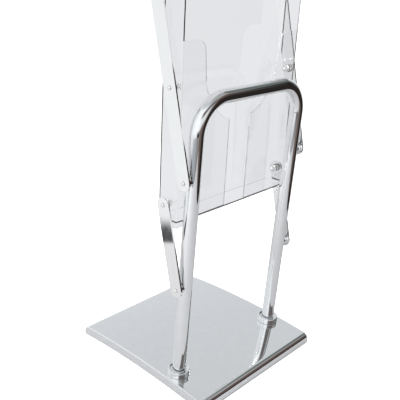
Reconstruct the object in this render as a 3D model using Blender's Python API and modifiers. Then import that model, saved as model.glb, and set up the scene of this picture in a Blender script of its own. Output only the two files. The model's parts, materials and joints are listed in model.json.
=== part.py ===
"""Folding presentation lectern: an arched chrome base, an inverted-U chrome hoop, a folding mast of flat
bars, a clear acrylic brochure pocket carried on a parallel linkage and a tilting acrylic reading desk.

Metres, +Z up. The reader stands on the -Y side. The origin is on the floor, under the middle of the
base. The fold hinge is the axis through the two upper lugs.
"""

import math

import bmesh
import bpy
from mathutils import Matrix, Vector

NAME = "presentation_lectern"
GAP = 0.0003  # running gap between pieces that touch
PAST = 0.010  # how far a cutter runs past what it cuts
MERGE = 0.00001

# Base: a plate that arches gently from front to back.
BASE_WIDTH = 0.358
BASE_DEPTH = 0.381
BASE_EDGE = 0.021  # height of the cover's skirt
BASE_RADIUS = 1.966  # radius of the arch
BASE_ROLL = 0.016  # radius of the cover's front and rear edges
COVER_SHEET = 0.002
BALLAST_THICK = 0.014
FOOT_PROUD = 0.0025  # the cover's lowest edge above the floor
FOOT_RADIUS = 0.0150
FOOT_INSET = 0.038
ARCH_CUTS = 13

# Hoop: one bent tube on two sockets, square to the arched plate where it stands.
TUBE_R = 0.0140
TUBE_WALL = 0.0020
LEG_X = 0.1488
LEG_Y = -0.0909  # from the base's middle
HOOP_HEIGHT = 0.5753  # tube centre line above the crown of the base
BEND_R = 0.064
COLLAR_R = 0.0235
COLLAR_HEIGHT = 0.0125
COLLAR_LIP = 0.0040
COLLAR_RECESS = 0.0040
COLLAR_BEVEL = 0.0015
PLUG_HEIGHT = 0.026
LEG_BOLT_SHORT = 0.004  # the bolt's end below the plug's top
LEG_BOLT_R = 0.0050
LEG_BOLT_HEAD_R = 0.0080
LEG_BOLT_HEAD = 0.0060
COUNTERBORE_R = 0.0095
COUNTERBORE = 0.0078

# Linkage, in the hoop's plane: distances along the legs and behind them.
LUG_LOW = 0.2062
LUG_HIGH = 0.4282
LUG_Y = 0.0004
LUG_R = 0.0100
LUG_BORE = 0.0062
LUG_BEVEL = 0.0005
LINK_LENGTH = 0.1695
LINK_ANGLE = math.radians(16.6)  # from the legs, leaning away from the reader
BAR_WIDTH = 0.030
BAR_THICK = 0.004
BAR_IN = 0.1710  # inner face of the links and of the mast bars
MAST_LENGTH = 0.600  # upper lug to cross rod
PIN_R = 0.0025
HOLE_R = PIN_R + GAP
HEAD_R = 0.0046
HEAD_HEIGHT = 0.0030
HEAD_RIM = 0.0004

# Brochure pocket. Its own frame starts on the upper pair of pivots.
POCKET_TILT = math.radians(2.0)  # back from the legs, so that it hangs nearly upright
POCKET_HALF = 0.1650
POCKET_FRONT = -0.0197
POCKET_DEPTH = 0.0502
ACRYLIC = 0.003
POCKET_CORNER = 0.0045
POCKET_BOTTOM = -0.2539
POCKET_TOP = 0.1720
TOE_BOTTOM = -0.2639  # the two front corners run on below the pocket's floor
TOE_X = 0.1470
TOE_DEPTH = 0.0220
EAR_TOP = 0.0807
EAR_EDGE = 0.1070
EAR_CORNER = 0.0220
EAR_FOOT = (0.1010, 0.0008)
SCOOP_END = (0.0385, -0.0710)
SCOOP_R = 0.109
SLOT_HALF = 0.0313
SLOT_CORNER = 0.0060
SPACER_R = 0.0080
NUT_FLANGE_R = 0.0075
NUT_FLANGE = 0.0015
NUT_R = 0.0060
NUT_HEIGHT = 0.0115
NUT_BORE = 0.0075

# Reading desk. Its own frame starts on the cross rod.
DESK_TILT = math.radians(22.0)  # its near edge is the low one
DESK_WIDTH = 0.480
DESK_NEAR = -0.180
DESK_FAR = 0.160
DESK_THICK = 0.006
DESK_RISE = 0.028  # cross rod to the panel's underside
LIP_HEIGHT = 0.032
LIP_RADIUS = 0.012
BRACKET_THICK = 0.004
BRACKET_FLANGE = 0.034
BRACKET_HALF = 0.075
BRACKET_END_R = 0.013
BRACKET_SHOULDER = 0.006
DESK_SCREW_Y = 0.055
SCREW_SUNK = 0.0002  # a desk screw's head below the panel's face
ROD_R = 0.0080
STUD_R = 0.0040
STUD_REACH = 0.0200
KNOB_R = 0.0180
KNOB_HEIGHT = 0.0200
KNOB_BASE = 0.0080  # where its round side starts
KNOB_EDGE = 0.0030
KNOB_NECK_R = 0.0100
KNOB_NECK = 0.0050

CROWN = FOOT_PROUD + BASE_EDGE + (BASE_DEPTH / 2) ** 2 / (2 * BASE_RADIUS)
LEAN = math.asin(-LEG_Y / BASE_RADIUS)  # the legs lean towards the reader
SADDLE = LEG_Y**2 / (2 * BASE_RADIUS)  # the plate's drop from its crown to the legs
SIDES = (("left", -1), ("right", 1))

CHROME = ("chrome", (0.80, 0.81, 0.82, 1), 0.06, 1.0)
STEEL = ("steel", (0.46, 0.46, 0.47, 1), 0.40, 1.0)
CLEAR = ("clear_acrylic", (0.93, 0.95, 0.96, 1), 0.03, 0.0)
NYLON = ("nylon", (0.88, 0.88, 0.86, 1), 0.45, 0.0)
RUBBER = ("rubber", (0.03, 0.03, 0.03, 1), 0.80, 0.0)


def clear_scene():
    for obj in list(bpy.data.objects):
        bpy.data.objects.remove(obj, do_unlink=True)


def collection(name, hidden=False):
    made = bpy.data.collections.new(name)
    bpy.context.scene.collection.children.link(made)
    made.hide_render = hidden
    return made


def material(node_name, look):
    name, colour, roughness, metallic = look
    made = bpy.data.materials.new(f"{node_name}_{name}")
    made.use_nodes = True
    shader = made.node_tree.nodes["Principled BSDF"]
    shader.inputs["Base Color"].default_value = colour
    shader.inputs["Roughness"].default_value = roughness
    shader.inputs["Metallic"].default_value = metallic
    if name == CLEAR[0]:
        shader.inputs["Transmission Weight"].default_value = 0.9
    return made


def add_object(name, mesh, look, parent, at=(0, 0, 0), turn=(0, 0, 0)):
    obj = bpy.data.objects.new(name, mesh)
    PARTS.objects.link(obj)
    obj.parent = parent
    obj.location = at
    obj.rotation_euler = turn
    mesh.materials.clear()
    mesh.materials.append(material(name, look))
    mesh.shade_smooth()
    mesh.set_sharp_from_angle(angle=math.radians(35))
    return obj


def empty(name, parent, at=(0, 0, 0), tilt=0.0):
    obj = bpy.data.objects.new(name, None)
    PARTS.objects.link(obj)
    obj.empty_display_size = 0.03
    obj.parent = parent
    obj.location = at
    obj.rotation_euler = (tilt, 0, 0)
    return obj


def bmesh_to_mesh(bm, name):
    mesh = bpy.data.meshes.new(name)
    bmesh.ops.recalc_face_normals(bm, faces=bm.faces)
    bm.to_mesh(mesh)
    bm.free()
    return mesh


def box_bmesh(low, high):
    bm = bmesh.new()
    bmesh.ops.create_cube(bm, size=1.0)
    size = Vector(high) - Vector(low)
    middle = (Vector(high) + Vector(low)) / 2
    for vertex in bm.verts:
        vertex.co = Vector(c * s for c, s in zip(vertex.co, size)) + middle
    return bm


def curve_to_mesh(curve, name):
    """A curve's evaluated mesh, with its caps welded to its sides."""
    obj = bpy.data.objects.new(name, curve)
    bpy.context.scene.collection.objects.link(obj)
    bpy.context.view_layer.update()
    graph = bpy.context.evaluated_depsgraph_get()
    mesh = bpy.data.meshes.new_from_object(obj.evaluated_get(graph))
    bpy.data.objects.remove(obj, do_unlink=True)
    bm = bmesh.new()
    bm.from_mesh(mesh)
    bmesh.ops.remove_doubles(bm, verts=bm.verts, dist=MERGE / 10)
    bpy.data.meshes.remove(mesh)
    return bmesh_to_mesh(bm, name)


def add_spline(curve, points, closed=True):
    spline = curve.splines.new("POLY")
    spline.points.add(len(points) - 1)
    for point, co in zip(spline.points, points):
        point.co = (*co, *([0.0] * (3 - len(co))), 1.0)
    spline.use_cyclic_u = closed


def prism(name, outlines, thick, axes="XY", start=0.0):
    """A flat outline, with any holes, extruded from start to start + thick along the third axis."""
    curve = bpy.data.curves.new(name, "CURVE")
    curve.dimensions = "2D"
    curve.fill_mode = "BOTH"
    curve.extrude = thick / 2
    for outline in outlines:
        add_spline(curve, outline)
    mesh = curve_to_mesh(curve, name)
    mesh.transform(Matrix.Translation((0, 0, start + thick / 2)))
    if axes == "YZ":
        mesh.transform(Matrix(((0, 0, 1, 0), (1, 0, 0, 0), (0, 1, 0, 0), (0, 0, 0, 1))))
    if axes == "XZ":
        mesh.transform(Matrix(((1, 0, 0, 0), (0, 0, 1, 0), (0, 1, 0, 0), (0, 0, 0, 1))))
        mesh.flip_normals()
    return mesh


def turned(name, profile, look, parent, at=(0, 0, 0), turn=(0, 0, 0), steps=20):
    """A profile of (radius, height) points, top to bottom down its outer side, turned round its Z axis."""
    mesh = bpy.data.meshes.new(name)
    points = [(radius, 0, height) for radius, height in profile]
    closed = profile[0][0] > 0
    edges = [(i, i + 1) for i in range(len(points) - 1)] + ([(len(points) - 1, 0)] if closed else [])
    mesh.from_pydata(points, edges, [])
    obj = add_object(name, mesh, look, parent, at, turn)
    screw = obj.modifiers.new("turned", "SCREW")
    screw.steps = steps
    screw.render_steps = steps
    screw.use_merge_vertices = True
    screw.merge_threshold = MERGE
    return obj


def arc(centre, radius, start, end, steps):
    """Points on an arc, angles in degrees."""
    angles = (math.radians(start + (end - start) * i / steps) for i in range(steps + 1))
    return [(centre[0] + radius * math.cos(a), centre[1] + radius * math.sin(a)) for a in angles]


def circle(centre, radius, steps=20):
    return arc(centre, radius, 0, 360, steps)[:-1]


def arc_between(start, end, radius, steps):
    """The shorter arc from start to end that bulges to the right of the way there."""
    a, b = Vector(start), Vector(end)
    half = (b - a) / 2
    rise = math.sqrt(radius**2 - half.length_squared)
    centre = a + half + Vector((-half.y, half.x)).normalized() * rise
    first, last = a - centre, b - centre
    from_angle = math.degrees(math.atan2(first.y, first.x))
    sweep = math.degrees(first.angle_signed(last))
    return arc(centre, radius, from_angle, from_angle - sweep, steps)


def cutter(name, mesh, parent, at=(0, 0, 0), turn=(0, 0, 0)):
    obj = bpy.data.objects.new(name, mesh)
    CUTTERS.objects.link(obj)
    obj.parent = parent
    obj.location = at
    obj.rotation_euler = turn
    obj.hide_render = True
    obj.display_type = "WIRE"
    return obj


def rod_mesh(name, radius, low, high, steps=24):
    """A plain cylinder along Z."""
    bm = bmesh.new()
    bmesh.ops.create_cone(
        bm, cap_ends=True, segments=steps, radius1=radius, radius2=radius, depth=high - low,
        matrix=Matrix.Translation((0, 0, (low + high) / 2)),
    )
    return bmesh_to_mesh(bm, name)


def boolean(obj, other, operation="DIFFERENCE"):
    modifier = obj.modifiers.new(operation.lower(), "BOOLEAN")
    modifier.operation = operation
    modifier.object = other


def outward(side):
    """Turns a piece's +Z to the object's outside on this side."""
    return (0, side * math.pi / 2, 0)


def arch(y):
    return -(y**2) / (2 * BASE_RADIUS)


def arched_slab(name, half_x, half_y, top, thick, roll=0.0, open_below=False):
    """A slab that follows the arch, its crown at height top, cut into strips along Y.

    roll rounds its upper front and rear edges."""
    bm = box_bmesh((-half_x, -half_y, top - thick), (half_x, half_y, top))
    if roll:
        ends = [e for e in bm.edges if all(abs(v.co.z - top) < MERGE for v in e.verts)
                and abs(e.verts[0].co.y - e.verts[1].co.y) < MERGE]
        bmesh.ops.bevel(bm, geom=ends, offset=roll, segments=6, profile=0.5, affect="EDGES")
    along = [e for e in bm.edges if abs(e.verts[0].co.y - e.verts[1].co.y) > half_y]
    bmesh.ops.subdivide_edges(bm, edges=along, cuts=ARCH_CUTS, use_grid_fill=True)
    if open_below:
        floor = [f for f in bm.faces if all(v.co.z < top - thick + MERGE for v in f.verts)]
        bmesh.ops.delete(bm, geom=floor, context="FACES")
    for vertex in bm.verts:
        vertex.co.z += arch(vertex.co.y)
    return bmesh_to_mesh(bm, name)


def make_base(root):
    half_x, half_y = BASE_WIDTH / 2, BASE_DEPTH / 2
    cover_mesh = arched_slab("base_cover", half_x, half_y, CROWN, BASE_EDGE, BASE_ROLL, open_below=True)
    cover = add_object("base_cover", cover_mesh, CHROME, root)
    sheet = cover.modifiers.new("sheet", "SOLIDIFY")
    sheet.thickness = COVER_SHEET
    sheet.offset = -1.0
    sheet.use_even_offset = True

    inset = COVER_SHEET + GAP
    top = CROWN - inset
    slab = arched_slab("ballast_plate", half_x - inset, half_y - BASE_ROLL, top, BALLAST_THICK)
    ballast = add_object("ballast_plate", slab, STEEL, root)
    room = arched_slab("ballast_room", half_x, half_y, top + GAP, BALLAST_THICK + 2 * GAP)
    room_cutter = cutter("ballast_room", room, root)

    for side_name, side in SIDES:
        for end_name, end in (("front", -1), ("rear", 1)):
            at = (side * (half_x - FOOT_INSET), end * (half_y - FOOT_INSET), 0)
            pad = rod_mesh(f"foot_{end_name}_{side_name}", FOOT_RADIUS, 0, BASE_EDGE)
            boolean(add_object(f"foot_{end_name}_{side_name}", pad, RUBBER, root, at), room_cutter)
    return cover, ballast


def hoop_path():
    """The tube's centre line in the hoop's plane: up one leg, round two bends and down the other."""
    foot = -SADDLE + GAP
    bend_z = HOOP_HEIGHT - BEND_R
    bend_x = LEG_X - BEND_R
    left = arc((-bend_x, bend_z), BEND_R, 180, 90, 8)
    right = arc((bend_x, bend_z), BEND_R, 90, 0, 8)
    return [(-LEG_X, foot), *left, *right, (LEG_X, foot)]


def tube_mesh(name, path, radius, resolution):
    curve = bpy.data.curves.new(name, "CURVE")
    curve.dimensions = "3D"
    curve.bevel_depth = radius
    curve.bevel_resolution = resolution
    curve.use_fill_caps = True
    add_spline(curve, [(x, 0, z) for x, z in path], closed=False)
    return curve_to_mesh(curve, name)


def make_hoop(legs, cover, ballast):
    path = hoop_path()
    hoop = add_object("hoop_tube", tube_mesh("hoop_tube", path, TUBE_R, 6), CHROME, legs)
    longer = [(path[0][0], path[0][1] - PAST), *path[1:-1], (path[-1][0], path[-1][1] - PAST)]
    bore = cutter("hoop_bore", tube_mesh("hoop_bore", longer, TUBE_R - TUBE_WALL, 6), legs)
    boolean(hoop, bore)

    foot = -SADDLE + GAP
    inner = TUBE_R + GAP
    lip_in = COLLAR_R - COLLAR_LIP
    collar_profile = (
        (lip_in, COLLAR_HEIGHT),
        (COLLAR_R - COLLAR_BEVEL, COLLAR_HEIGHT),
        (COLLAR_R, COLLAR_HEIGHT - COLLAR_BEVEL),
        (COLLAR_R, 0),
        (inner, 0),
        (inner, COLLAR_HEIGHT - COLLAR_RECESS),
        (lip_in - COLLAR_BEVEL / 2, COLLAR_HEIGHT - COLLAR_RECESS),
    )
    plug_r = TUBE_R - TUBE_WALL - 2 * GAP
    bolt_bore = LEG_BOLT_R + GAP
    plug_profile = (
        (bolt_bore, PLUG_HEIGHT), (plug_r, PLUG_HEIGHT), (plug_r, GAP), (bolt_bore, GAP),
    )
    seat = -COVER_SHEET - GAP - BALLAST_THICK + COUNTERBORE  # roof of the counterbore
    bolt_profile = (
        (0, PLUG_HEIGHT - LEG_BOLT_SHORT),
        (LEG_BOLT_R, PLUG_HEIGHT - LEG_BOLT_SHORT),
        (LEG_BOLT_R, seat - GAP),
        (LEG_BOLT_HEAD_R, seat - GAP),
        (LEG_BOLT_HEAD_R, seat - GAP - LEG_BOLT_HEAD),
        (0, seat - GAP - LEG_BOLT_HEAD),
    )
    for side_name, side in SIDES:
        at = (side * LEG_X, 0, foot)
        turned(f"collar_{side_name}", collar_profile, CHROME, legs, at, steps=28)
        turned(f"leg_plug_{side_name}", plug_profile, STEEL, legs, at)
        turned(f"leg_bolt_{side_name}", bolt_profile, STEEL, legs, at)
        low = -COVER_SHEET - BALLAST_THICK - PAST
        through = rod_mesh(f"bolt_hole_{side_name}", bolt_bore, low, PAST, 20)
        counter = rod_mesh(f"bolt_seat_{side_name}", COUNTERBORE_R, low, seat)
        hole = cutter(f"bolt_hole_{side_name}", through, legs, at)
        room = cutter(f"bolt_seat_{side_name}", counter, legs, at)
        boolean(cover, hole)
        boolean(ballast, hole)
        boolean(ballast, room)


def screw_profile(reach):
    """A domed machine screw: its shank goes down reach from the underside of its head."""
    dome = arc((0, -HEAD_R * 0.9), HEAD_R * 1.4, 90, 40, 4)
    crown = dome[0][1]
    head = [(max(r, 0), (z - crown) + HEAD_HEIGHT) for r, z in dome if r < HEAD_R * 0.95]
    return [*head, (HEAD_R, HEAD_RIM), (HEAD_R, 0), (PIN_R, 0), (PIN_R, -reach), (0, -reach)]


def sunk_screw_profile(reach):
    """A countersunk machine screw: its shank ends reach below its flat top."""
    cone_end = -HEAD_RIM - (HEAD_R - PIN_R)
    return [(0, 0), (HEAD_R, 0), (HEAD_R, -HEAD_RIM), (PIN_R, cone_end), (PIN_R, -reach), (0, -reach)]


def make_lugs(legs):
    """Round bosses welded to the legs' outer sides, each with a blind bore for its screw."""
    face = BAR_IN - GAP
    length = face - LEG_X
    profile = (
        (HOLE_R, 0), (LUG_R - LUG_BEVEL, 0), (LUG_R, -LUG_BEVEL), (LUG_R, -length),
        (0, -length), (0, -LUG_BORE), (HOLE_R, -LUG_BORE),
    )
    reach = BAR_THICK + GAP + LUG_BORE
    for side_name, side in SIDES:
        clearance = rod_mesh(f"leg_room_{side_name}", TUBE_R + GAP, LUG_LOW - 4 * LUG_R, LUG_HIGH + 4 * LUG_R)
        room = cutter(f"leg_room_{side_name}", clearance, legs, (side * LEG_X, 0, 0))
        for level_name, height in (("lower", LUG_LOW), ("upper", LUG_HIGH)):
            at = (side * face, LUG_Y, height)
            lug = turned(f"lug_{level_name}_{side_name}", profile, CHROME, legs, at, outward(side))
            boolean(lug, room)
            head_at = (side * (BAR_IN + BAR_THICK + GAP), LUG_Y, height)
            name = f"lug_screw_{level_name}_{side_name}"
            turned(name, screw_profile(reach), CHROME, legs, head_at, outward(side), 16)


def bar_outline(length):
    """A flat bar with round ends, from a pivot at the origin to one at (0, length)."""
    r = BAR_WIDTH / 2
    return [*arc((0, 0), r, 180, 360, 12), *arc((0, length), r, 0, 180, 12)]


def make_bars(low_frame, high_frame):
    link_holes = [circle((0, 0), HOLE_R), circle((0, LINK_LENGTH), HOLE_R)]
    mast_holes = [*link_holes, circle((0, MAST_LENGTH), STUD_R + GAP)]
    for side_name, side in SIDES:
        start = BAR_IN if side > 0 else -BAR_IN - BAR_THICK
        name = f"lower_link_{side_name}"
        outlines = [bar_outline(LINK_LENGTH), *link_holes]
        add_object(name, prism(name, outlines, BAR_THICK, "YZ", start), CHROME, low_frame)
        name = f"mast_bar_{side_name}"
        outlines = [bar_outline(MAST_LENGTH), *mast_holes]
        add_object(name, prism(name, outlines, BAR_THICK, "YZ", start), CHROME, high_frame)


def flap_opening():
    """What is cut out of the pocket's front: all between the toes, the slot, the scoop, all above the ears."""
    corner = (EAR_EDGE + EAR_CORNER, EAR_TOP - EAR_CORNER)
    half = [
        (TOE_X, TOE_BOTTOM - PAST),
        (TOE_X, POCKET_BOTTOM),
        (SLOT_HALF, POCKET_BOTTOM),
        *arc((SLOT_HALF + SLOT_CORNER, SCOOP_END[1] - SLOT_CORNER), SLOT_CORNER, 180, 100, 4),
        *arc_between(SCOOP_END, EAR_FOOT, SCOOP_R, 10)[1:],
        *arc(corner, EAR_CORNER, 180, 90, 8),
        (POCKET_HALF - ACRYLIC, EAR_TOP),
        (POCKET_HALF - ACRYLIC, POCKET_TOP + PAST),
    ]
    return half + [(-x, z) for x, z in reversed(half)]


def floor_outline(front, back):
    """The pocket's floor between its walls, with a tongue that fills the slot up to the pocket's face."""
    inset = ACRYLIC + GAP
    cut = ACRYLIC / 2  # clears the folds
    x, low, high = POCKET_HALF - inset, front + inset, back - inset
    tongue = SLOT_HALF - GAP
    right = [(tongue, front), (tongue, low), (x - cut, low), (x, low + cut), (x, high - cut), (x - cut, high)]
    return right + [(-x, y) for x, y in reversed(right)]


def make_pocket(frame):
    front, back = POCKET_FRONT, POCKET_FRONT + POCKET_DEPTH
    bm = box_bmesh((-POCKET_HALF, front, TOE_BOTTOM), (POCKET_HALF, back, POCKET_TOP))
    ends = [f for f in bm.faces if abs(f.normal.z) > 0.5]
    bmesh.ops.delete(bm, geom=ends, context="FACES")
    upright = [e for e in bm.edges if abs(e.verts[0].co.z - e.verts[1].co.z) > 0.1]
    bmesh.ops.bevel(bm, geom=upright, offset=POCKET_CORNER, segments=3, profile=0.5, affect="EDGES")
    shell = add_object("pocket_shell", bmesh_to_mesh(bm, "pocket_shell"), CLEAR, frame)
    sheet = shell.modifiers.new("sheet", "SOLIDIFY")
    sheet.thickness = ACRYLIC
    sheet.offset = -1.0
    sheet.use_even_offset = True
    opening = prism("flap_opening", [flap_opening()], 2 * PAST + ACRYLIC, "XZ", front - PAST)
    boolean(shell, cutter("flap_opening", opening, frame))
    behind = box_bmesh(
        (-POCKET_HALF - PAST, front + TOE_DEPTH, TOE_BOTTOM - PAST),
        (POCKET_HALF + PAST, back + PAST, POCKET_BOTTOM),
    )
    boolean(shell, cutter("behind_toes", bmesh_to_mesh(behind, "behind_toes"), frame))

    floor = prism("pocket_floor", [floor_outline(front, back)], ACRYLIC, "XY", POCKET_BOTTOM)
    add_object("pocket_floor", floor, CLEAR, frame)
    make_pocket_pivots(frame, shell)


def make_pocket_pivots(frame, shell):
    """At each pivot: a domed screw from outside, a nylon spacer, and a flanged dome nut inside."""
    spacing = LUG_HIGH - LUG_LOW
    low = (spacing * math.sin(POCKET_TILT), -spacing * math.cos(POCKET_TILT))
    wall_in = POCKET_HALF - ACRYLIC
    spacer = BAR_IN - POCKET_HALF - 2 * GAP
    spacer_profile = ((HOLE_R, spacer), (SPACER_R, spacer), (SPACER_R, 0), (HOLE_R, 0))
    dome = [(r, NUT_HEIGHT - NUT_R + z) for r, z in arc((0, 0), NUT_R, 90, 0, 5)]
    nut_profile = [
        *[(max(r, 0), z) for r, z in dome],
        (NUT_R, NUT_FLANGE), (NUT_FLANGE_R, NUT_FLANGE), (NUT_FLANGE_R, 0), (HOLE_R, 0),
        (HOLE_R, NUT_BORE), (0, NUT_BORE),
    ]
    nut_seat = wall_in - GAP
    head_seat = BAR_IN + BAR_THICK + GAP
    reach = head_seat - nut_seat + NUT_BORE - 2 * GAP
    for level_name, (y, z) in (("upper", (0, 0)), ("lower", low)):
        hole = rod_mesh(f"pivot_hole_{level_name}", HOLE_R, -0.20, 0.20, 20)
        boolean(shell, cutter(f"pivot_hole_{level_name}", hole, frame, (0, y, z), outward(1)))
        for side_name, side in SIDES:
            where = f"{level_name}_{side_name}"
            out, inward = outward(side), outward(-side)
            at = (side * head_seat, y, z)
            turned(f"pocket_screw_{where}", screw_profile(reach), CHROME, frame, at, out, 16)
            at = (side * (POCKET_HALF + GAP), y, z)
            turned(f"pocket_spacer_{where}", spacer_profile, NYLON, frame, at, out, 16)
            turned(f"dome_nut_{where}", nut_profile, CHROME, frame, (side * nut_seat, y, z), inward, 16)


def desk_outline():
    """The desk's section across its width: a flat panel whose near edge is bent up into a lip."""
    low, high = DESK_RISE, DESK_RISE + DESK_THICK
    bend = (DESK_NEAR + LIP_RADIUS, low + LIP_RADIUS)
    inner = LIP_RADIUS - DESK_THICK
    return [
        (DESK_FAR, low),
        *reversed(arc(bend, LIP_RADIUS, 180, 270, 6)),
        (DESK_NEAR, low + LIP_HEIGHT),
        (DESK_NEAR + DESK_THICK, low + LIP_HEIGHT),
        *arc(bend, inner, 180, 270, 6),
        (DESK_FAR, high),
    ]


def bracket_outline():
    """A bracket's upright plate: round below the cross rod, wide under the panel."""
    top = DESK_RISE - GAP
    shoulder = top - BRACKET_SHOULDER
    return [
        *arc((0, 0), BRACKET_END_R, 205, 335, 8),
        (BRACKET_HALF, shoulder), (BRACKET_HALF, top), (-BRACKET_HALF, top), (-BRACKET_HALF, shoulder),
    ]


def sink_cutter(name, desk, x, y):
    """A cone that seats a countersunk head in the panel, a gap clear of it all round."""
    face = DESK_RISE + DESK_THICK
    rim = HEAD_R + SCREW_SUNK + HEAD_RIM + GAP  # the sink's radius at the face
    low, high = face - rim + HOLE_R, face + PIN_R
    bm = bmesh.new()
    bmesh.ops.create_cone(
        bm, cap_ends=True, segments=24, radius1=HOLE_R, radius2=rim + PIN_R, depth=high - low,
        matrix=Matrix.Translation((0, 0, (low + high) / 2)),
    )
    return cutter(name, bmesh_to_mesh(bm, name), desk, (x, y, 0))


def make_desk(desk, mast_top):
    panel_mesh = prism("desk_panel", [desk_outline()], DESK_WIDTH, "YZ", -DESK_WIDTH / 2)
    panel = add_object("desk_panel", panel_mesh, CLEAR, desk)
    plate_out = BAR_IN - GAP
    top = DESK_RISE - GAP
    screw_x = plate_out - BRACKET_FLANGE * 0.55
    for side_name, side in SIDES:
        name = f"desk_bracket_{side_name}"
        start = plate_out - BRACKET_THICK if side > 0 else -plate_out
        outlines = [bracket_outline(), circle((0, 0), STUD_R + GAP)]
        bracket = add_object(name, prism(name, outlines, BRACKET_THICK, "YZ", start), CHROME, desk)
        ends = (side * (plate_out - BRACKET_FLANGE), side * (plate_out - BRACKET_THICK / 2))
        flange = box_bmesh(
            (min(ends), -BRACKET_HALF + BRACKET_SHOULDER / 6, top - BRACKET_THICK),
            (max(ends), BRACKET_HALF - BRACKET_SHOULDER / 6, top - GAP / 3),
        )
        boolean(bracket, cutter(f"flange_{side_name}", bmesh_to_mesh(flange, "flange"), desk), "UNION")
        for end_name, end in (("near", -1), ("far", 1)):
            where = f"{end_name}_{side_name}"
            x, y = side * screw_x, end * DESK_SCREW_Y
            hole_mesh = rod_mesh(f"desk_hole_{where}", HOLE_R, 0, DESK_RISE + DESK_THICK + PAST, 20)
            hole = cutter(f"desk_hole_{where}", hole_mesh, desk, (x, y, 0))
            boolean(bracket, hole)
            boolean(panel, hole)
            boolean(panel, sink_cutter(f"desk_sink_{where}", desk, x, y))
            profile = sunk_screw_profile(DESK_THICK + 1.5 * BRACKET_THICK)
            at = (x, y, DESK_RISE + DESK_THICK - SCREW_SUNK)
            turned(f"desk_screw_{where}", profile, CHROME, desk, at, steps=16)
        make_knob(side_name, side, mast_top)
    rod_half = plate_out - BRACKET_THICK - GAP
    bore = STUD_R + GAP
    rod_profile = ((bore, rod_half), (ROD_R, rod_half), (ROD_R, -rod_half), (bore, -rod_half))
    turned("cross_rod", rod_profile, CHROME, mast_top, turn=outward(1))


def make_knob(side_name, side, mast_top):
    """A clamping knob: a round head, a neck and a stud that screws into the cross rod."""
    rim = arc((KNOB_R - KNOB_EDGE, KNOB_HEIGHT - KNOB_EDGE), KNOB_EDGE, 90, 0, 3)
    profile = (
        (0, KNOB_HEIGHT), *rim, (KNOB_R, KNOB_BASE), (KNOB_NECK_R, KNOB_NECK),
        (KNOB_NECK_R, 0), (STUD_R, 0), (STUD_R, -STUD_REACH), (0, -STUD_REACH),
    )
    at = (side * (BAR_IN + BAR_THICK + GAP), 0, 0)
    turned(f"desk_knob_{side_name}", profile, CHROME, mast_top, at, outward(side), 24)


def build():
    root = empty("lectern_root", None)
    cover, ballast = make_base(root)
    legs = empty("hoop_frame", root, (0, LEG_Y, CROWN), LEAN)
    make_hoop(legs, cover, ballast)
    make_lugs(legs)
    low_frame = empty("lower_link_axis", legs, (0, LUG_Y, LUG_LOW), -LINK_ANGLE)
    high_frame = empty("mast_axis", legs, (0, LUG_Y, LUG_HIGH), -LINK_ANGLE)
    make_bars(low_frame, high_frame)
    make_pocket(empty("pocket_axis", high_frame, (0, 0, LINK_LENGTH), LINK_ANGLE - POCKET_TILT))
    mast_top = empty("mast_top", high_frame, (0, 0, MAST_LENGTH), 0)
    upright = LINK_ANGLE - LEAN
    make_desk(empty("desk_axis", mast_top, tilt=upright + DESK_TILT), mast_top)


clear_scene()
PARTS = collection(NAME)
CUTTERS = collection("cutters", hidden=True)
build()
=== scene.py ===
"""The looks of the folding presentation lectern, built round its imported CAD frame.

Metres, +Z up, the reader on the -Y side. Places and outer sizes are read back from the frame: span()
measures a node in its own sub-assembly's frame, and the fine pieces are built there. The named values
repeat the CAD model's inner sizes, or are detail that it doesn't have.
"""

import json
import math

import bmesh
import bpy
from mathutils import Matrix, Vector


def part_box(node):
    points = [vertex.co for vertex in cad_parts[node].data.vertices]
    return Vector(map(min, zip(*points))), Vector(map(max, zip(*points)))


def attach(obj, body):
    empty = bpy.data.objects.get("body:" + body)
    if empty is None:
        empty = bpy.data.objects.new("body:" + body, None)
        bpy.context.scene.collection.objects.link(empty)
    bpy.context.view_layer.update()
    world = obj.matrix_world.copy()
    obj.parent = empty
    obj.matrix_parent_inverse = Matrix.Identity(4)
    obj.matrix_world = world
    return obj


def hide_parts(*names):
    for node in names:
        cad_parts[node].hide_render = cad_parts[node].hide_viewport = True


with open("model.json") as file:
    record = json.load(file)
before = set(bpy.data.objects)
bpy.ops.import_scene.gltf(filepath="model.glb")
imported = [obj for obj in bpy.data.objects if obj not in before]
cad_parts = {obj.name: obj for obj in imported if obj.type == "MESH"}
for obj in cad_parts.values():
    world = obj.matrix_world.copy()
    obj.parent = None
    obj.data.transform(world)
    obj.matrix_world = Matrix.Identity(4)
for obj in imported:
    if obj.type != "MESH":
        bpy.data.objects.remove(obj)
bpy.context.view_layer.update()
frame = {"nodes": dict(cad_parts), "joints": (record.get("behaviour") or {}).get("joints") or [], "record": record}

NODES = frame["nodes"]
JOINTS = {joint["name"]: Vector(joint["pos_m"]) for joint in frame["joints"]}
MOUNTS = {mount["name"]: mount for mount in frame["record"]["mounts"]}
SIDES = (("left", -1), ("right", 1))
LEVELS = ("lower", "upper")

GAP = 0.0003  # what touching pieces keep between them
OVERRUN = 0.01  # how far a cutter runs past what it cuts
EASE = 0.0003  # radius of a broken edge on a small piece
SOFT_EDGE = 0.0009  # radius of a rounded one
MERGE = 1e-6
SMOOTH_STEPS = 64
HEX_SIDES = 6
SHARP_ANGLE = math.radians(40)  # steeper edges stay sharp in the shading
RIM_ANGLE = math.radians(60)  # steeper edges are a plate's rims


# ---- Frames of the sub-assemblies ----


def frame_at(origin, up):
    """A frame with X across the lectern and Z along up."""
    across, up = Vector((1, 0, 0)), Vector(up).normalized()
    made = Matrix((across, up.cross(across), up)).transposed().to_4x4()
    made.translation = Vector(origin)
    return made


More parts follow.
